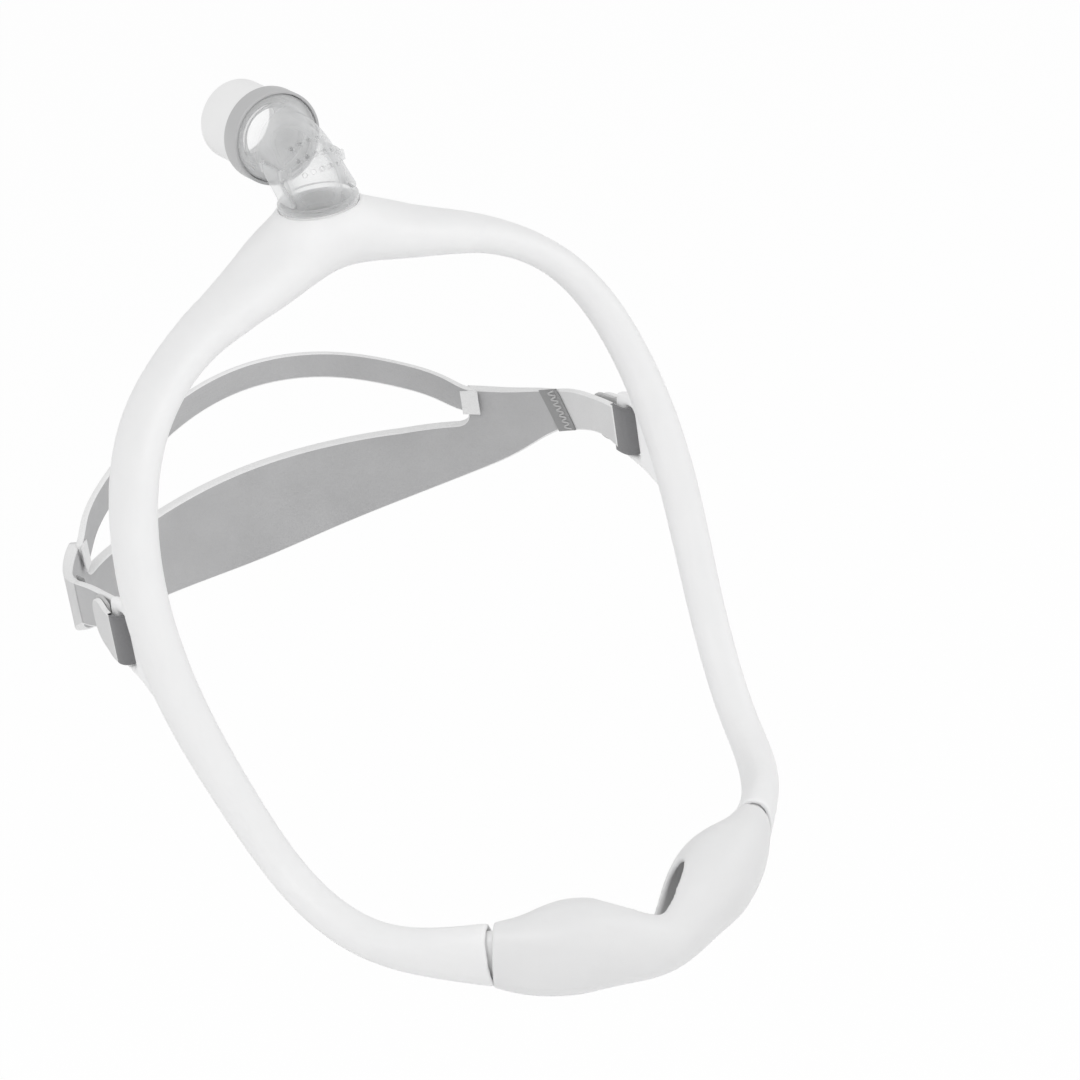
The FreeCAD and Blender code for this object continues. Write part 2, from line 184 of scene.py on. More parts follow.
def relaxed(obj, rounds, shareOf=None):
    # evens a remeshed surface out; a round is a count of passes and the share that a point must be over,
    # which shareOf gives for points in millimetres
    bm = bmesh.new()
    bm.from_mesh(obj.data)
    for count, least in rounds:
        chosen = bm.verts
        if shareOf:
            spots = np.array([v.co for v in bm.verts]) / mm
            chosen = [v for v, share in zip(bm.verts, shareOf(spots)) if share > least]
        for _ in range(count):
            bmesh.ops.smooth_vert(bm, verts=chosen, factor=0.5, use_axis_x=True, use_axis_y=True,
                                  use_axis_z=True)
    bm.to_mesh(obj.data)
    bm.free()
    for p in obj.data.polygons:
        p.use_smooth = True
    return obj


# materials

def newMaterial(name, colour, rough, **sockets):
    mat = bpy.data.materials.new(name)
    mat.use_nodes = True
    tree = mat.node_tree
    shader = tree.nodes["Principled BSDF"]
    shader.inputs["Base Color"].default_value = (*colour, 1)
    shader.inputs["Roughness"].default_value = rough
    for key, value in sockets.items():
        shader.inputs[key].default_value = value
    return mat, tree, shader


def addNode(tree, kind, **values):
    node = tree.nodes.new(kind)
    for key, value in values.items():
        if key in node.inputs:
            node.inputs[key].default_value = value
        else:
            setattr(node, key, value)
    return node


def objectSpot(tree):
    # object coordinates in millimetres
    spot = addNode(tree, "ShaderNodeTexCoord")
    size = addNode(tree, "ShaderNodeMapping")
    size.inputs["Scale"].default_value = (1 / mm,) * 3
    tree.links.new(spot.outputs["Object"], size.inputs["Vector"])
    return size.outputs["Vector"]


def mixColours(tree, share, low, high):
    mix = addNode(tree, "ShaderNodeMix", data_type="RGBA")
    tree.links.new(share, mix.inputs["Factor"])
    mix.inputs["A"].default_value = (*low, 1)
    mix.inputs["B"].default_value = (*high, 1)
    return mix.outputs["Result"]


def addBump(tree, shader, height, strength, depth):
    bump = addNode(tree, "ShaderNodeBump", Strength=strength, Distance=depth * mm)
    tree.links.new(height, bump.inputs["Height"])
    tree.links.new(bump.outputs["Normal"], shader.inputs["Normal"])
    return bump


def moulded(name, low, high, rough, grain, depth, **sockets):
    # moulded plastic or rubber: faint cloudiness, a fine skin of grain by depth millimetres and uneven gloss
    mat, tree, shader = newMaterial(name, low, rough, **sockets)
    spot = objectSpot(tree)
    cloud = addNode(tree, "ShaderNodeTexNoise", Scale=0.09, Detail=3.0)
    skin = addNode(tree, "ShaderNodeTexNoise", Scale=1 / grain, Detail=4.0, Roughness=0.6)
    for node in (cloud, skin):
        tree.links.new(spot, node.inputs["Vector"])
    tree.links.new(mixColours(tree, cloud.outputs["Fac"], low, high), shader.inputs["Base Color"])
    gloss = addNode(tree, "ShaderNodeMapRange")
    gloss.inputs["To Min"].default_value = rough - 0.06
    gloss.inputs["To Max"].default_value = rough + 0.08
    tree.links.new(skin.outputs["Fac"], gloss.inputs["Value"])
    tree.links.new(gloss.outputs["Result"], shader.inputs["Roughness"])
    addBump(tree, shader, skin.outputs["Fac"], 0.25, depth)
    return mat


def knitted(name, low, high, loopSize=0.55, rough=0.92):
    # brushed loop fabric on the piece's own UV map, which is in millimetres
    mat, tree, shader = newMaterial(name, low, rough)
    shader.inputs["Sheen Weight"].default_value = 0.25
    shader.inputs["Sheen Roughness"].default_value = 0.5
    uv = addNode(tree, "ShaderNodeUVMap", uv_map="weave")
    loops = addNode(tree, "ShaderNodeTexVoronoi", Scale=1 / loopSize, Randomness=0.75)
    rows = addNode(tree, "ShaderNodeTexWave", Scale=0.5 / loopSize, Distortion=1.2, Detail=2.0)
    rows.inputs["Detail Scale"].default_value = 1.5
    fuzz = addNode(tree, "ShaderNodeTexNoise", Scale=3.0, Detail=5.0)
    patch = addNode(tree, "ShaderNodeTexNoise", Scale=0.06, Detail=3.0)
    for node in (loops, rows, fuzz, patch):
        tree.links.new(uv.outputs["UV"], node.inputs["Vector"])
    height = addNode(tree, "ShaderNodeMath", operation="MULTIPLY_ADD")
    tree.links.new(loops.outputs["Distance"], height.inputs[0])
    height.inputs[1].default_value = -0.8
    tree.links.new(rows.outputs["Fac"], height.inputs[2])
    share = addNode(tree, "ShaderNodeMath", operation="MULTIPLY_ADD")
    tree.links.new(height.outputs["Value"], share.inputs[0])
    share.inputs[1].default_value = 0.35
    tree.links.new(patch.outputs["Fac"], share.inputs[2])
    tree.links.new(mixColours(tree, share.outputs["Value"], low, high), shader.inputs["Base Color"])
    pile = addNode(tree, "ShaderNodeMath", operation="ADD")
    tree.links.new(height.outputs["Value"], pile.inputs[0])
    tree.links.new(fuzz.outputs["Fac"], pile.inputs[1])
    addBump(tree, shader, pile.outputs["Value"], 0.5, 0.12)
    return mat


def porous(name, low, high):
    # the cut edge of the foam backing
    mat, tree, shader = newMaterial(name, low, 0.9)
    spot = objectSpot(tree)
    cells = addNode(tree, "ShaderNodeTexVoronoi", Scale=2.6)
    tree.links.new(spot, cells.inputs["Vector"])
    tree.links.new(mixColours(tree, cells.outputs["Distance"], high, low), shader.inputs["Base Color"])
    addBump(tree, shader, cells.outputs["Distance"], 0.5, 0.15)
    return mat


def softBody(weight, scale):
    # sockets that let light into a piece as deep as scale, in metres
    return {"Subsurface Weight": weight, "Subsurface Radius": (1.0, 1.0, 1.0), "Subsurface Scale": scale,
            "IOR": 1.42}


silicone = moulded("silicone", (0.86, 0.86, 0.865), (0.90, 0.90, 0.90), 0.45, 0.5, 0.015,
                   **softBody(0.35, 0.004))
cushionSkin = moulded("cushionSkin", (0.79, 0.79, 0.795), (0.83, 0.83, 0.83), 0.40, 0.5, 0.012,
                      **softBody(0.45, 0.005))
whitePlastic = moulded("whitePlastic", (0.84, 0.84, 0.84), (0.87, 0.87, 0.87), 0.38, 0.3, 0.01)
greyPlastic = moulded("greyPlastic", (0.47, 0.472, 0.475), (0.51, 0.51, 0.513), 0.36, 0.3, 0.012)
sealRubber = moulded("sealRubber", (0.72, 0.72, 0.72), (0.76, 0.76, 0.76), 0.5, 0.3, 0.01)
fabricInner = knitted("fabricInner", (0.42, 0.42, 0.425), (0.52, 0.52, 0.525))
fabricOuter = knitted("fabricOuter", (0.62, 0.62, 0.625), (0.72, 0.72, 0.72))
foamEdge = porous("foamEdge", (0.78, 0.78, 0.78), (0.86, 0.86, 0.86))
seamTape = knitted("seamTape", (0.25, 0.25, 0.255), (0.32, 0.32, 0.32), 0.4)
seamThread = moulded("seamThread", (0.46, 0.46, 0.46), (0.55, 0.55, 0.55), 0.7, 0.3, 0.05)
# painted shade: the front strap's fold round the slot bar is coloured dark for the shade inside the slot
slotFoldShade = knitted("slotFoldShade", (0.15, 0.15, 0.155), (0.22, 0.22, 0.225), 0.4, 0.85)
hookTape = knitted("hookTape", (0.50, 0.50, 0.50), (0.58, 0.58, 0.58), 0.5, 0.7)


def seeThrough(name, rough, thin, edgeOn):
    # clear plastic; thin and the edge-on pair give its colour and cover where it faces the eye and where it is
    # edge on, and the greyer edge-on colour is painted shade for the dark rims
    mat, tree, shader = newMaterial(name, thin[0], rough, IOR=1.45)
    swirl = addNode(tree, "ShaderNodeTexNoise", Scale=0.3, Detail=2.0)
    tree.links.new(objectSpot(tree), swirl.inputs["Vector"])
    addBump(tree, shader, swirl.outputs["Fac"], 0.35, 0.25)
    facing = addNode(tree, "ShaderNodeLayerWeight", Blend=0.42)
    cover = addNode(tree, "ShaderNodeMapRange")
    cover.inputs["To Min"].default_value = thin[1]
    cover.inputs["To Max"].default_value = edgeOn[1]
    tree.links.new(facing.outputs["Facing"], cover.inputs["Value"])
    tree.links.new(cover.outputs["Result"], shader.inputs["Alpha"])
    # painted shade: the base colour turns greyer as the surface turns edge on
    tree.links.new(mixColours(tree, facing.outputs["Facing"], thin[0], edgeOn[0]), shader.inputs["Base Color"])
    return mat


clear = seeThrough("clearPlastic", 0.16, ((0.88, 0.885, 0.89), 0.13), ((0.70, 0.705, 0.71), 0.72))
print("materials")


# frame: the hollow soft loop with its hub and strap plates

frameShape = {
    "line": [(0, 25.4, 78.5), (20.6, 22.3, 73.4), (42.8, 19.4, 65.7), (63.8, 15.0, 50.6), (76.8, 7.2, 22.4),
             (79.4, -3.6, -9.7), (74.2, -19.2, -43.8), (66.8, -40.6, -69.6), (59.8, -58.2, -75.8),
             (50.2, -71.9, -76.9), (40.6, -81.2, -77.4)],
    "widths": [30, 26, 17.8, 17, 15, 12.8, 10.0, 9.2, 12.2, 16.8, 21.0],
    "depths": [17, 13.5, 9.6, 8.9, 9.7, 10.5, 10.2, 10.0, 9.6, 9.8, 11.0],
    "square": 2.3,
    "headY": 25.0,
    "headTilt": 0.55,
    "wall": 1.5,
    "voxel": 0.62,
    "evenPasses": 6,
}
hub = {
    "portY": 24.3,
    "top": 87.5,
    "socketR": 10.5,
    "socketFloor": 78.0,
    # height below the top, half width, half depth
    "skirt": [(-16, 36, 6.0), (-12, 31, 10.5), (-9, 26.5, 13.0), (-6, 20.5, 14.2), (-3.5, 15.6, 13.4),
              (-1.6, 12.6, 12.0), (-0.6, 11.6, 11.5), (0, 11.2, 11.2)],
    # where the skirt flows into the tube: half width and lowest height, with the fade beyond each
    "flowX": (30, 12),
    "flowZ": (70, 6),
    "crispR": 12.2,               # the rim round the port keeps its edge above this height
    "crispZ": 82,
    "flowPasses": [(30, 0.02), (30, 0.3)],
}
plate = {
    "x": 80.2,
    "thick": 2.6,
    # y, z
    "outline": [(0, 9), (16, 5.5), (21.6, 4.2), (22.2, -6), (21.6, -15.0), (12, -17.0), (0, -22)],
    "round": [0, 3, 2.4, 0, 2.4, 5, 0],
    "slot": [(13.0, -14.2), (17.2, -14.2), (17.2, 1.8), (13.0, 1.8)],
    "slotRound": 1.5,
    "slotReach": 5,
}


def mirroredPoints(points):
    points = np.array(points, float)
    return np.concatenate([points[::-1], (points * (-1, 1, 1))[1:]])


def bothWays(values):
    return list(values)[::-1] + list(values)[1:]


def skinFrame(spots, slopes):
    # the directions across the tube along the skin, and away from the skin
    along = unit(slopes)
    tall = spots[:, 2] * (1 - frameShape["headTilt"])
    away = np.stack([spots[:, 0], spots[:, 1] - frameShape["headY"], tall], 1)
    out = unit(away - along * np.sum(away * along, 1, keepdims=True))
    return np.cross(along, out), out


def ovalSpot(angle, square):
    # a point of a rounded oval; square is 2 for an ellipse and more for fuller corners
    c, s = np.cos(angle), np.sin(angle)
    return np.sign(c) * np.abs(c) ** (2 / square), np.sign(s) * np.abs(s) ** (2 / square)


def softTube(shape, inset, along, around):
    # an oval tube along a mirrored line from the middle plane out, flat towards the wearer's head
    middle = Line(mirroredPoints(shape["line"]))
    sizes = Line(np.stack([bothWays(shape["widths"]), bothWays(shape["depths"])], 1), middle.k)

    def place(u, v):
        spots = middle.at(u)
        across, out = skinFrame(spots, middle.slope(u))
        size = sizes.at(u) - 2 * inset
        a, b = ovalSpot(2 * math.pi * v, shape["square"])
        return spots + across * (a * size[:, 0] / 2)[:, None] + out * (b * size[:, 1] / 2)[:, None]
    return tubeGrid(along, around, place)


def skirtShape():
    rows = Line([(z + hub["top"], rx, ry) for z, rx, ry in hub["skirt"]], np.linspace(0, 1, len(hub["skirt"])))

    def place(u, v):
        row = rows.at(u)
        a = 2 * math.pi * v
        return np.stack([np.cos(a) * row[:, 1], hub["portY"] + np.sin(a) * row[:, 2], row[:, 0]], 1)
    return tubeGrid(28, 72, place)


def cylinderZ(radius, z0, z1, x=0.0, y=0.0, steps=64):
    bm = turned([(z0, 0), (z0, radius), (z1, radius), (z1, 0)], steps, closed=False)
    bmesh.ops.translate(bm, verts=bm.verts, vec=(x, y, 0))
    return bm


def slab(outline, x0, x1):
    # an outline of (y, z) points pushed out along X
    bm = bmesh.new()
    verts = [bm.verts.new((x0, y, z)) for y, z in outline]
    face = bm.faces.new(verts)
    made = bmesh.ops.extrude_face_region(bm, geom=[face])
    moved = [g for g in made["geom"] if isinstance(g, bmesh.types.BMVert)]
    bmesh.ops.translate(bm, verts=moved, vec=(x1 - x0, 0, 0))
    bmesh.ops.recalc_face_normals(bm, faces=bm.faces)
    return bm


def mirroredCopy(bm):
    other = bm.copy()
    bmesh.ops.scale(other, vec=(-1, 1, 1), verts=other.verts)
    bmesh.ops.reverse_faces(other, faces=other.faces)
    return other


def buildFrame():
    outer = linked("frameLoop", softTube(frameShape, 0, 360, 48), "mask", silicone, ("frame",))
    half = plate["thick"] / 2
    outline = rounded(plate["outline"], plate["round"])
    window = rounded(plate["slot"], [plate["slotRound"]] * 4)
    plates = [slab(outline, plate["x"] - half, plate["x"] + half)]
    reach = plate["slotReach"]
    windows = [slab(window, plate["x"] - reach, plate["x"] + reach)]
    plates.append(mirroredCopy(plates[0]))
    windows.append(mirroredCopy(windows[0]))
    solids = [helper("skirt", skirtShape())] + [helper("plate", b) for b in plates]
    port = helper("port", cylinderZ(hub["socketR"], hub["socketFloor"], hub["top"] + 2.5, 0, hub["portY"]))
    hollow = helper("hollow", softTube(frameShape, frameShape["wall"], 240, 32))
    fused(outer, solids, [port] + [helper("slot", b) for b in windows] + [hollow], frameShape["voxel"])

    def nearHub(p):
        (halfX, fadeX), (lowZ, fadeZ) = hub["flowX"], hub["flowZ"]
        gap = np.maximum(0, np.abs(p[:, 0]) - halfX) / fadeX
        low = np.maximum(0, lowZ - p[:, 2]) / fadeZ
        rim = (np.hypot(p[:, 0], p[:, 1] - hub["portY"]) < hub["crispR"]) & (p[:, 2] > hub["crispZ"])
        return np.where(rim, 0, 1 - np.clip(gap + low, 0, 1))
    relaxed(outer, [(frameShape["evenPasses"], -1)])
    relaxed(outer, hub["flowPasses"], nearHub)
    return outer


frameLoop = buildFrame()
print("frame", len(frameLoop.data.polygons))


# cushion: thin soft body with two humps, a saddle and the nose opening

cushion = {
    "line": [(0, -97.4, -84.4), (11.0, -94.8, -81.8), (22.5, -90.2, -79.2), (33.5, -86.0, -78.4),
             (40.35, -81.4, -77.4)],
    "widths": [18.5, 22.5, 26.5, 24.5, 21.0],
    "depths": [14.5, 17.5, 21.0, 15.5, 11.0],
    "square": 2.25,
    "wall": 1.6,
    "mouthAt": (0, -97.0, -84.0),
    "mouthR": 5.2,
    "mouthStretch": 2.6,
    "mouthTilt": 25.0,
    "mouthReach": 26,
    "voxel": 0.5,
    "evenPasses": 6,
}


def buildCushion():
    skin = softTube(cushion, 0, 160, 56)
    body = linked("noseCushion", skin, "mask", cushionSkin, ("cushion",))
    hollow = helper("hollow", softTube(cushion, cushion["wall"], 120, 40))
    bm = cylinderZ(cushion["mouthR"], 0, cushion["mouthReach"])
    bmesh.ops.scale(bm, vec=(cushion["mouthStretch"], 1, 1), verts=bm.verts)
    bmesh.ops.rotate(bm, verts=bm.verts, matrix=Matrix.Rotation(math.radians(-cushion["mouthTilt"]), 3, "X"))
    bmesh.ops.translate(bm, verts=bm.verts, vec=cushion["mouthAt"])
    fused(body, [], [hollow, helper("mouth", bm)], cushion["voxel"])
    return relaxed(body, [(cushion["evenPasses"], -1)])


noseCushion = buildCushion()
print("cushion", len(noseCushion.data.polygons))


# headgear: laminate straps, cut flat from fabric on foam and bent along a line

headgear = {
    "inner": 0.9,                                 # inner face to the plan line
    "plan": [(77.4, 52.0), (76.2, 59.0), (71.8, 69.0), (64.0, 80.0), (50.0, 90.5), (27.0, 99.0), (0, 102.0)],
    "thick": [1.8, 2.2, 3.0, 3.5, 3.7, 3.7, 3.7],
    "sideTop": [-4.0, -5.6, -7.4, -7.6],          # up to the crown strap's seam
    "backTop": [-19.3, -17.9, -17.0],             # from behind the notch to the middle of the back
    "bottom": [-16.9, -21.0, -27.9, -34.2, -39.6, -44.0, -46.2],
    "notchCorner": (0.3, -19.1),                  # behind the seam, and its height
    "notchR": 4.6,
    "crownLine": [(64.6, 77.9, -11.2), (62.2, 80.4, -9.9), (58.2, 84.1, -6.6), (48.0, 89.0, -0.1),
                  (27.0, 93.5, 9.5), (0, 96.0, 13.8)],
    "crownWidth": 7.4,
    "crownThick": 1.9,
}
frontStrap = {
    "thick": 1.8,
    "plan": [(77.4, 52.0), (77.95, 46), (78.1, 39), (78.1, 32), (77.95, 26), (77.9, 20.6)],
    "top": [-4.0, -2.2, -0.7, 0.2, 0.8, 1.0],
    "bottom": [-16.9, -15.0, -12.7, -11.0, -10.7, -12.0],
    "loopThick": 1.3,
    "loop": [(77.95, 22.0), (77.9, 17.8), (78.66, 15.86), (80.5, 15.1), (82.34, 15.86), (83.1, 17.8),
             (83.0, 19.2)],
    "loopTop": 1.0,
    "loopBottom": -13.3,
    "endThick": 1.4,
    "end": [(83.1, 18.2), (82.8, 21.5), (82.0, 25.5), (81.3, 29.5), (81.0, 33.8)],
    "endR": 6.6,
}
hookTab = {
    "thick": 0.9,
    "plan": [(80.9, 24.0), (80.2, 28.0), (79.85, 31.5), (79.7, 34.6)],
    "high": 1.0,
    "low": -13.3,
    "endR": 7.0,
}


def flat(plan):
    return [(x, y, 0) for x, y in plan]


def lengthOf(line):
    return float(np.sum(np.linalg.norm(np.diff(line.at(np.linspace(0, 1, 400)), axis=0), axis=1)))


def edgeLine(marks, values, count):
    return [tuple(p) for p in Line(np.stack([marks, values], 1)).at(np.linspace(0, 1, count))]


def strapPiece(outline, line, thick, step=2.0, rise=2.5, edge=0.45, near=None, plain=(), shift=0):
    # an outline of (along, up) given its thickness, sliced every step and rise, then bent onto the line; near
    # is from the line to the inner face, plain names ends with sharp edges, shift gives all one material
    far = lengthOf(line)
    near = thick / 2 if near is None else near
    depth = thick if callable(thick) else lambda share: np.full(len(share), thick)
    bm = bmesh.new()
    face = bm.faces.new([bm.verts.new((a, b, 0)) for a, b in outline])
    made = bmesh.ops.extrude_face_region(bm, geom=[face])
    top = [g for g in made["geom"] if isinstance(g, bmesh.types.BMVert)]
    bmesh.ops.translate(bm, verts=top, vec=(0, 0, 2))
    bmesh.ops.recalc_face_normals(bm, faces=bm.faces)
    for f in bm.faces:
        f.material_index = 2 if abs(f.normal.z) < 0.5 else (0 if f.normal.z < 0 else 1)
    ends = {"start": 0.0, "finish": far}

    def atPlainEnd(e):
        return any(all(abs(v.co.x - ends[k]) < 1e-3 for v in e.verts) for k in plain)
    rims = [e for e in bm.edges if sum(f.material_index == 2 for f in e.link_faces) == 1]
    rims = [e for e in rims if not atPlainEnd(e)]
    bmesh.ops.bevel(bm, geom=rims, offset=edge, segments=3, profile=0.5, affect="EDGES", material=2)
    spots = np.array([v.co for v in bm.verts])
    for axis, gap in ((0, step), (1, rise)):
        low, high = spots[:, axis].min(), spots[:, axis].max()
        count = int((high - low) / gap)
        for i in range(1, count + 1):
            place, normal = [0, 0, 0], [0, 0, 0]
            place[axis] = low + (high - low) * i / (count + 1)
            normal[axis] = 1
            bmesh.ops.bisect_plane(bm, geom=bm.verts[:] + bm.edges[:] + bm.faces[:], dist=1e-4,
                                   plane_co=place, plane_no=normal)
    uv = bm.loops.layers.uv.new("weave")
    for f in bm.faces:
        for loop in f.loops:
            a, b, c = loop.vert.co
            loop[uv].uv = (a, b) if f.material_index < 2 else (a, b + c)
        if shift:
            f.material_index = shift
    spots = np.array([v.co for v in bm.verts])
    share = spots[:, 0] / far
    along = unit(line.slope(share))
    side = unit(np.cross(along, (0, 0, 1)))
    lift = np.cross(side, along)
    away = spots[:, 2] / 2 * depth(np.clip(share, 0, 1)) - near
    bent = line.at(share) + side * away[:, None] + lift * spots[:, 1:2]
    for v, p in zip(bm.verts, bent):
        v.co = p
    bmesh.ops.recalc_face_normals(bm, faces=bm.faces)
    return bm


def joined(parts):
    whole = bmesh.new()
    for bm in parts:
        mesh = bpy.data.meshes.new("part")
        bm.to_mesh(mesh)
        whole.from_mesh(mesh)
        bm.free()
        bpy.data.meshes.remove(mesh)
    return whole


strapFinish = [fabricInner, fabricOuter, foamEdge, slotFoldShade]


def buildBackStrap():
    line = Line(mirroredPoints(flat(headgear["plan"])[::-1]))
    far = lengthOf(line)
    marks = line.k * far
    seamAt = marks[3]
    side = edgeLine(marks[:4], headgear["sideTop"], 30)
    tops = bothWays(headgear["backTop"][::-1])
    back = edgeLine(marks[4:-4], tops, 120)
    behind, low = headgear["notchCorner"]
    notch = rounded([side[-1], (seamAt + behind, low), back[4]], [0, headgear["notchR"], 0], 10)[1:-1]
    left = [(far - a, b) for a, b in notch[::-1]]
    top = side + notch + back[4:-4] + left + [(far - a, b) for a, b in side[::-1]]
    under = edgeLine(marks, bothWays(headgear["bottom"][::-1]), 180)
    thicks = Line(bothWays(headgear["thick"][::-1]), line.k)
    bm = strapPiece(top + under[::-1], line, lambda share: thicks.at(share)[:, 0], near=headgear["inner"],
                    plain=("start", "finish"))
    linked("backStrap", bm, "mask", strapFinish, ("back_strap",))


def buildCrownStrap():
    line = Line(mirroredPoints(headgear["crownLine"][::-1]))
    far, half = lengthOf(line), headgear["crownWidth"] / 2
    outline = [(0, -half), (far, -half), (far, half), (0, half)]
    bm = strapPiece(outline, line, headgear["crownThick"], edge=0.35)
    linked("crownStrap", bm, "mask", strapFinish, ("crown_strap",))


def bothSides(name, bm, material, stands=(), body="mask"):
    # a piece for the wearer's left, at +X, and its mirror image, each on its own tab where body is tab
    for side, piece in (("left", bm.copy()), ("right", mirroredCopy(bm))):
        rides = body + "_" + side if body == "tab" else body
        linked(name + side.title(), piece, rides, material, [n + "_" + side for n in stands])
    bm.free()


def bandPiece(plan, low, high, thick, endR=0.0, **kind):
    # a straight-edged band with its far end rounded
    line = Line(flat(plan))
    far = lengthOf(line)
    outline = rounded([(0, low), (far, low), (far, high), (0, high)], [0, endR, endR, 0], 10)
    return strapPiece(outline, line, thick, **kind)


def buildFrontStrap():
    f = frontStrap
    line = Line(flat(f["plan"]))
    marks = line.k * lengthOf(line)
    outline = edgeLine(marks, f["top"], 40) + edgeLine(marks, f["bottom"], 40)[::-1]
    inner = strapPiece(outline, line, f["thick"], plain=("start",))
    # the fold round the slot bar takes the fourth finish, the dark painted shade of the slot
    loop = bandPiece(f["loop"], f["loopBottom"], f["loopTop"], f["loopThick"], step=0.6, edge=0.3, shift=3)
    end = bandPiece(f["end"], f["loopBottom"], f["loopTop"], f["endThick"], f["endR"], edge=0.4)
    bothSides("frontStrap", joined([inner, loop, end]), strapFinish, ("front_strap",))


def buildHookTab():
    h = hookTab
    bm = bandPiece(h["plan"], h["low"], h["high"], h["thick"], h["endR"], edge=0.3)
    bothSides("hookTab", bm, [hookTape], ("hook_tab",))


buildBackStrap()
buildCrownStrap()
buildFrontStrap()
buildHookTab()
print("headgear")


# seams: dark tape with a zigzag thread at the front, pale tape at the crown strap

seam = {
    "plan": [(75.0, 59.2), (76.15, 52.6), (76.95, 46.0), (77.0, 40.0)],
    "lift": 0.25,
    "thick": 0.5,
    "edge": 0.12,
    # y, z of the tape's corners: top from back to front, then bottom from front to back
    "corners": [(57.0, -5.0), (49.4, -2.6), (42.3, -13.6), (50.4, -16.4)],
    "zigzags": 7,
    "zigzagFrom": 0.04,                           # shares of the way down the tape
    "zigzagRun": 0.92,
    "zigzagShares": (0.86, 0.48),                 # shares of the way across it, in turn
    "threadR": 0.28,
    "threadLift": 0.1,
    "crownPlan": [(64.9, 75.4), (63.3, 77.6), (61.6, 79.6)],
    "crownLow": -14.9,
    "crownTop": -7.4,
}


def threadPiece(points, radius):
    # a round thread through the points
    line = Line(points)

    def place(u, v):
        spots = line.at(u)
        along = unit(line.slope(u))
        side = unit(np.cross(along, (0.13, 0.2, 0.97)))
        up = np.cross(side, along)
        a = 2 * math.pi * v[:, None]
        return spots + (side * np.cos(a) + up * np.sin(a)) * radius
    return tubeGrid(len(points) * 6, 8, place)


def buildSeams():
    line = Line(flat(seam["plan"]))
    far = lengthOf(line)
    shares = np.linspace(0, 1, 200)
    ys = line.at(shares)[:, 1]

    def alongAt(y):
        return float(np.interp(y, ys[::-1], shares[::-1]) * far)
    tapeLine = Line(flat([(x - seam["lift"], y) for x, y in seam["plan"]]))
    outline = [(alongAt(y), z) for y, z in seam["corners"]]
    tape = strapPiece(outline, tapeLine, seam["thick"], edge=seam["edge"])
    bothSides("frontSeam", tape, [seamTape], ("front_seam",))
    topBack, topFront, lowFront, lowBack = np.array(seam["corners"])
    points = []
    for i in range(2 * seam["zigzags"] + 1):
        t = seam["zigzagFrom"] + seam["zigzagRun"] * i / (2 * seam["zigzags"])
        share = seam["zigzagShares"][i % 2]
        top = (1 - share) * topBack + share * topFront
        low = (1 - share) * lowBack + share * lowFront
        y, z = (1 - t) * top + t * low
        face = float(np.interp(y, ys[::-1], line.at(shares)[::-1, 0])) - seam["lift"] - seam["thick"] / 2
        points.append((face - seam["threadLift"], y, z))
    bothSides("frontThread", threadPiece(points, seam["threadR"]), [seamThread])

    bm = bandPiece(seam["crownPlan"], seam["crownLow"], seam["crownTop"], seam["thick"], edge=seam["edge"])
    bothSides("crownSeam", bm, [foamEdge], ("crown_seam",))


buildSeams()
print("seams")


# elbow: clear quarter bend with a base flange, a bell into the ring, vents and two release tabs

elbow = {
    "axisY": 24.3,
    "foot": 79.8,
    "bendLow": 89.2,
    "bendR": 12.0,
    "outletZ": 101.2,
    # distance along the middle line, then radius, outside from the foot to the outlet
    "outside": [(0, 7.0), (0.25, 7.3), (7.6, 7.3), (7.85, 7.6), (7.85, 10.5), (8.1, 10.8), (9.1, 10.8),
                (9.4, 10.45), (9.45, 9.3), (9.9, 8.85), (10.9, 8.55), (12.5, 8.5), (28.3, 8.5), (29.6, 8.7),
                (30.8, 9.4), (32.0, 10.5), (33.0, 11.3), (34.2, 11.75), (35.6, 11.85), (35.75, 11.7),
                (35.75, 9.3), (36.0, 9.0), (48.7, 9.0), (48.95, 8.8)],
    "inside": [(48.95, 7.9), (48.7, 7.7), (36.2, 7.7), (35.0, 8.6), (34.0, 9.6), (33.0, 9.9), (31.8, 9.1),
               (30.6, 8.0), (29.4, 7.4), (28.0, 7.2), (12.5, 7.2), (10.8, 7.0), (9.6, 6.4), (8.6, 6.0),
               (0.25, 6.0), (0, 6.2)],
    "ringGap": 0.7,               # between the rings of points along the shell
    "ventTurns": (28, 40, 52),    # degrees round the bend
    "ventSpreads": (-36, -18, 0, 18, 36),    # degrees across it
    "ventR": 0.65,
    "ventFrom": 5.0,
    "ventTo": 11.0,
    "sharpAngle": 38,
}
releaseTab = {
    "pivot": (29.5, 98.2),        # y, z
    "half": 4.2,
    # the ears that hold the tab's pin: x from and to, width, then below and above the pivot
    "earX": (6.4, 9.6),
    "earWide": 1.4,
    "earTall": (1.6, 1.2),
    "earGap": 0.1,
    "earRound": 0.5,
    "plateX": 8.7,
    "thick": 1.0,
    # y, z
    "outline": [(25.3, 99.4), (33.7, 99.4), (33.7, 96.2), (28.7, 91.1), (28.3, 89.8), (20.3, 89.8),
                (19.9, 91.1), (25.3, 95.6)],
    "round": [1.8, 1.8, 1.8, 1.6, 1.0, 1.0, 1.8, 1.8],
    "edge": 0.35,
}


def elbowLine(s):
    # middle line of the bore and its direction
    s = np.atleast_1d(np.array(s, float))
    rise = elbow["bendLow"] - elbow["foot"]
    arc = elbow["bendR"] * math.pi / 2
    a = np.clip((s - rise) / elbow["bendR"], 0, math.pi / 2)
    past = np.maximum(0, s - rise - arc)
    y = elbow["axisY"] + elbow["bendR"] * (1 - np.cos(a)) + past
    z = elbow["foot"] + np.minimum(s, rise) + elbow["bendR"] * np.sin(a)
    spots = np.stack([0 * s, y, z], 1)
    return spots, np.stack([0 * s, np.sin(a), np.cos(a)], 1)


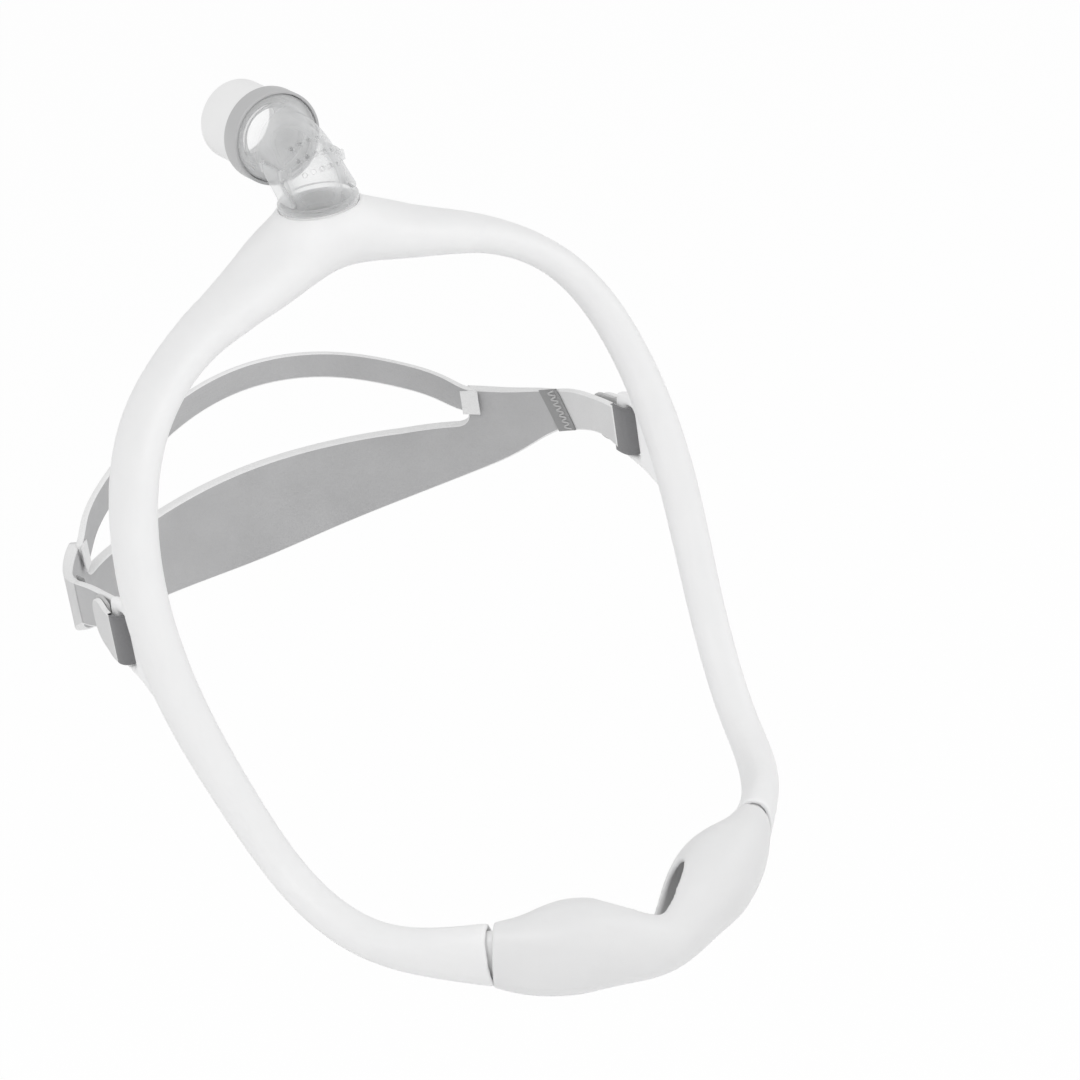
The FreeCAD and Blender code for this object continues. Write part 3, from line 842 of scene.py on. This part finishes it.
def elbowShell():
    # both faces in one loop of stations, swept round the middle line
    stations = []
    for side in ("outside", "inside"):
        rows = elbow[side]
        for (s0, r0), (s1, r1) in zip(rows, rows[1:]):
            count = max(1, int(abs(s1 - s0) / elbow["ringGap"]))
            stations += [(s0 + (s1 - s0) * i / count, r0 + (r1 - r0) * i / count) for i in range(count)]
        stations.append(rows[-1])
    stations = np.array(stations + stations[:1])
    last = len(stations) - 1

    def place(u, v):
        row = stations[np.round(u * last).astype(int)]
        spots, along = elbowLine(row[:, 0])
        side = np.array([[1.0, 0, 0]])
        up = np.cross(along, side)
        a = 2 * math.pi * v[:, None]
        return spots + (side * np.cos(a) + up * np.sin(a)) * row[:, 1:2]
    return tubeGrid(last, 80, place, caps=False)


def ventTools():
    # rows of fine holes in the outside of the bend
    centre = Vector((0, elbow["axisY"] + elbow["bendR"], elbow["bendLow"]))
    vents = []
    for turn in elbow["ventTurns"]:
        for spread in elbow["ventSpreads"]:
            bm = cylinderZ(elbow["ventR"], elbow["ventFrom"], elbow["ventTo"], steps=14)
            for angle, axis in ((90, "X"), (spread, "Z")):
                bmesh.ops.rotate(bm, verts=bm.verts, matrix=Matrix.Rotation(math.radians(angle), 3, axis))
            bmesh.ops.translate(bm, verts=bm.verts, vec=centre - Vector((0, elbow["bendR"], 0)))
            lean = Matrix.Rotation(math.radians(-turn), 3, "X")
            bmesh.ops.rotate(bm, verts=bm.verts, cent=centre, matrix=lean)
            vents.append(bm)
    return helper("vents", joined(vents))


def earTools():
    py, pz = releaseTab["pivot"]
    wide, (down, up) = releaseTab["earWide"], releaseTab["earTall"]
    away = releaseTab["half"] + releaseTab["earGap"]
    ears = []
    for y in (py - away - wide, py + away):
        corners = [(y, pz - down), (y + wide, pz - down), (y + wide, pz + up), (y, pz + up)]
        bm = slab(rounded(corners, [releaseTab["earRound"]] * 4), *releaseTab["earX"])
        ears += [helper("ear", mirroredCopy(bm)), helper("ear", bm)]
    return ears


def buildElbow():
    body = linked("clearElbow", elbowShell(), "elbow", clear, ("elbow",))
    fused(body, earTools(), [ventTools()])
    body.data.set_sharp_from_angle(angle=math.radians(elbow["sharpAngle"]))


def buildTabs():
    x0, x1 = releaseTab["plateX"], releaseTab["plateX"] + releaseTab["thick"]
    bm = slab(rounded(releaseTab["outline"], releaseTab["round"], 5), x0, x1)
    outer = [e for e in bm.edges if all(v.co.x > x1 - 1e-4 for v in e.verts)]
    bmesh.ops.bevel(bm, geom=outer, offset=releaseTab["edge"], segments=3, profile=0.5, affect="EDGES",
                    material=-1)
    bothSides("releaseTabPlate", bm, clear, ("release_tab",), "tab")


buildElbow()
buildTabs()
print("elbow")


# swivel ring and hose cuff, turned profiles

ringShape = {"outR": 12.75, "front": 41.6, "back": 48.0, "seatR": 11.95, "lipFront": 46.7, "lipR": 10.96}
cuffShape = {"outR": 11.0, "neckR": 10.9, "neckEnd": 48.3, "front": 43.95, "end": 64.2, "flangeR": 11.6,
             "flangeT": 2.6, "boreR": 9.06, "boreEnd": 57.5, "wideR": 9.7}


def alongY(bm):
    # lays a shape turned about Z on the hose's axis
    bmesh.ops.rotate(bm, verts=bm.verts, matrix=Matrix.Rotation(-math.pi / 2, 3, "X"))
    bmesh.ops.translate(bm, verts=bm.verts, vec=(0, 0, elbow["outletZ"]))
    return bm


def buildRing():
    r = ringShape
    profile = rounded([(r["front"], r["seatR"]), (r["lipFront"], r["seatR"]), (r["lipFront"], r["lipR"]),
                       (r["back"], r["lipR"]), (r["back"], r["outR"]), (r["front"], r["outR"])],
                      [0.15, 0.1, 0.1, 0.15, 0.7, 0.5])
    linked("swivelRing", alongY(turned(profile)), "elbow", greyPlastic, ("swivel_ring",))


def buildCuff():
    c = cuffShape
    profile = rounded([(c["front"], c["boreR"]), (c["boreEnd"], c["boreR"]), (c["boreEnd"] + 0.4, c["wideR"]),
                       (c["end"], c["wideR"]), (c["end"], c["outR"]), (c["neckEnd"], c["outR"]),
                       (c["neckEnd"], c["neckR"]), (c["front"] + c["flangeT"], c["neckR"]),
                       (c["front"] + c["flangeT"], c["flangeR"]), (c["front"], c["flangeR"])],
                      [0.1, 0.1, 0.1, 0.45, 0.6, 0.04, 0.02, 0.05, 0.2, 0.2])
    linked("hoseCuff", alongY(turned(profile)), "cuff", whitePlastic, ("swivel_cuff",))


buildRing()
buildCuff()
print("ring and cuff")


# CAD pieces that no Blender piece replaces, all held inside the mask

nodeFinish = {
    "silicone": silicone,
    "cushion_silicone": cushionSkin,
    "clear_plastic": clear,
    "white_plastic": whitePlastic,
    "grey_plastic": greyPlastic,
    "seal_rubber": sealRubber,
    "strap_fabric": fabricOuter,
    "hook_tape": hookTape,
    "seam_tape": seamTape,
}
slotOf = {s["node"]: s["material_slot"] for s in frame["record"]["subparts"]}
for name, node in frame["nodes"].items():
    if not node.hide_render:
        node.data.materials.clear()
        node.data.materials.append(nodeFinish[slotOf[name]])


# stage, camera and light

studio = {
    "floorZ": -0.30,
    "floorSize": 30.0,
    "white": 1.0,
    "shadowShare": 0.07,
    "world": 0.72,
    # name, place, width, watts
    "lamps": [("keyLamp", (-0.9, -0.9, 1.3), 0.9, 9.0), ("fillLamp", (1.3, -0.6, 0.7), 1.2, 4.0)],
    "lens": 120.33,
    # the camera's place and the directions of its right, up and back
    "eye": (-0.3890165, -0.7673989, 0.4291549),
    "right": (0.8309311, -0.5396025, -0.1355828),
    "up": (0.3506365, 0.3186737, 0.8806254),
    "back": (-0.4319810, -0.7792793, 0.4540002),
}


def buildStage():
    # the floor glows white for the eye and keeps a share of the mask's shadow
    mat = bpy.data.materials.new("paleFloor")
    mat.use_nodes = True
    tree = mat.node_tree
    tree.nodes.clear()
    out = addNode(tree, "ShaderNodeOutputMaterial")
    soft = addNode(tree, "ShaderNodeBsdfDiffuse", Color=(studio["white"],) * 3 + (1,))
    glow = addNode(tree, "ShaderNodeEmission", Color=(1, 1, 1, 1), Strength=1.0)
    path = addNode(tree, "ShaderNodeLightPath")
    seen = addNode(tree, "ShaderNodeMath", operation="ADD", use_clamp=True)
    more = addNode(tree, "ShaderNodeMath", operation="ADD", use_clamp=True)
    share = addNode(tree, "ShaderNodeMath", operation="MULTIPLY")
    mix = addNode(tree, "ShaderNodeMixShader")
    link = tree.links.new
    link(path.outputs["Is Camera Ray"], seen.inputs[0])
    link(path.outputs["Is Glossy Ray"], seen.inputs[1])
    link(seen.outputs["Value"], more.inputs[0])
    link(path.outputs["Is Transmission Ray"], more.inputs[1])
    link(more.outputs["Value"], share.inputs[0])
    share.inputs[1].default_value = 1 - studio["shadowShare"]
    link(share.outputs["Value"], mix.inputs["Fac"])
    link(soft.outputs["BSDF"], mix.inputs[1])
    link(glow.outputs["Emission"], mix.inputs[2])
    link(mix.outputs["Shader"], out.inputs["Surface"])
    bm = bmesh.new()
    bmesh.ops.create_grid(bm, x_segments=1, y_segments=1, size=studio["floorSize"] / 2)
    bmesh.ops.translate(bm, verts=bm.verts, vec=(0, 0, studio["floorZ"]))
    floor = linked("floor", bm, None, mat, smooth=False, scale=1.0)


def buildCamera():
    data = bpy.data.cameras.new("photoView")
    data.lens = studio["lens"]
    data.sensor_width = 36.0
    data.clip_start, data.clip_end = 0.05, 50.0
    cam = bpy.data.objects.new("photoView", data)
    bpy.context.scene.collection.objects.link(cam)
    turn = Matrix((studio["right"], studio["up"], studio["back"])).transposed().to_4x4()
    cam.matrix_world = Matrix.Translation(studio["eye"]) @ turn
    bpy.context.scene.camera = cam


def addLamp(name, spot, size, power):
    # a round lamp turned to the origin
    data = bpy.data.lights.new(name, "AREA")
    data.shape, data.size, data.energy = "DISK", size, power
    lamp = bpy.data.objects.new(name, data)
    lamp.location = spot
    lamp.rotation_euler = Vector(spot).to_track_quat("Z", "Y").to_euler()
    bpy.context.scene.collection.objects.link(lamp)


def buildLight():
    # an even white sky, full white where the camera sees it
    world = bpy.data.worlds.new("studio")
    bpy.context.scene.world = world
    world.use_nodes = True
    tree = world.node_tree
    back = tree.nodes["Background"]
    back.inputs["Color"].default_value = (1, 1, 1, 1)
    path = addNode(tree, "ShaderNodeLightPath")
    seen = addNode(tree, "ShaderNodeMath", operation="ADD", use_clamp=True)
    strength = addNode(tree, "ShaderNodeMapRange")
    strength.inputs["To Min"].default_value = studio["world"]
    strength.inputs["To Max"].default_value = 1.0
    tree.links.new(path.outputs["Is Camera Ray"], seen.inputs[0])
    tree.links.new(path.outputs["Is Transmission Ray"], seen.inputs[1])
    tree.links.new(seen.outputs["Value"], strength.inputs["Value"])
    tree.links.new(strength.outputs["Result"], back.inputs["Strength"])
    for lamp in studio["lamps"]:
        addLamp(*lamp)


buildStage()
buildCamera()
buildLight()
bpy.context.scene.view_settings.view_transform = "Standard"
print("stage, camera and light")
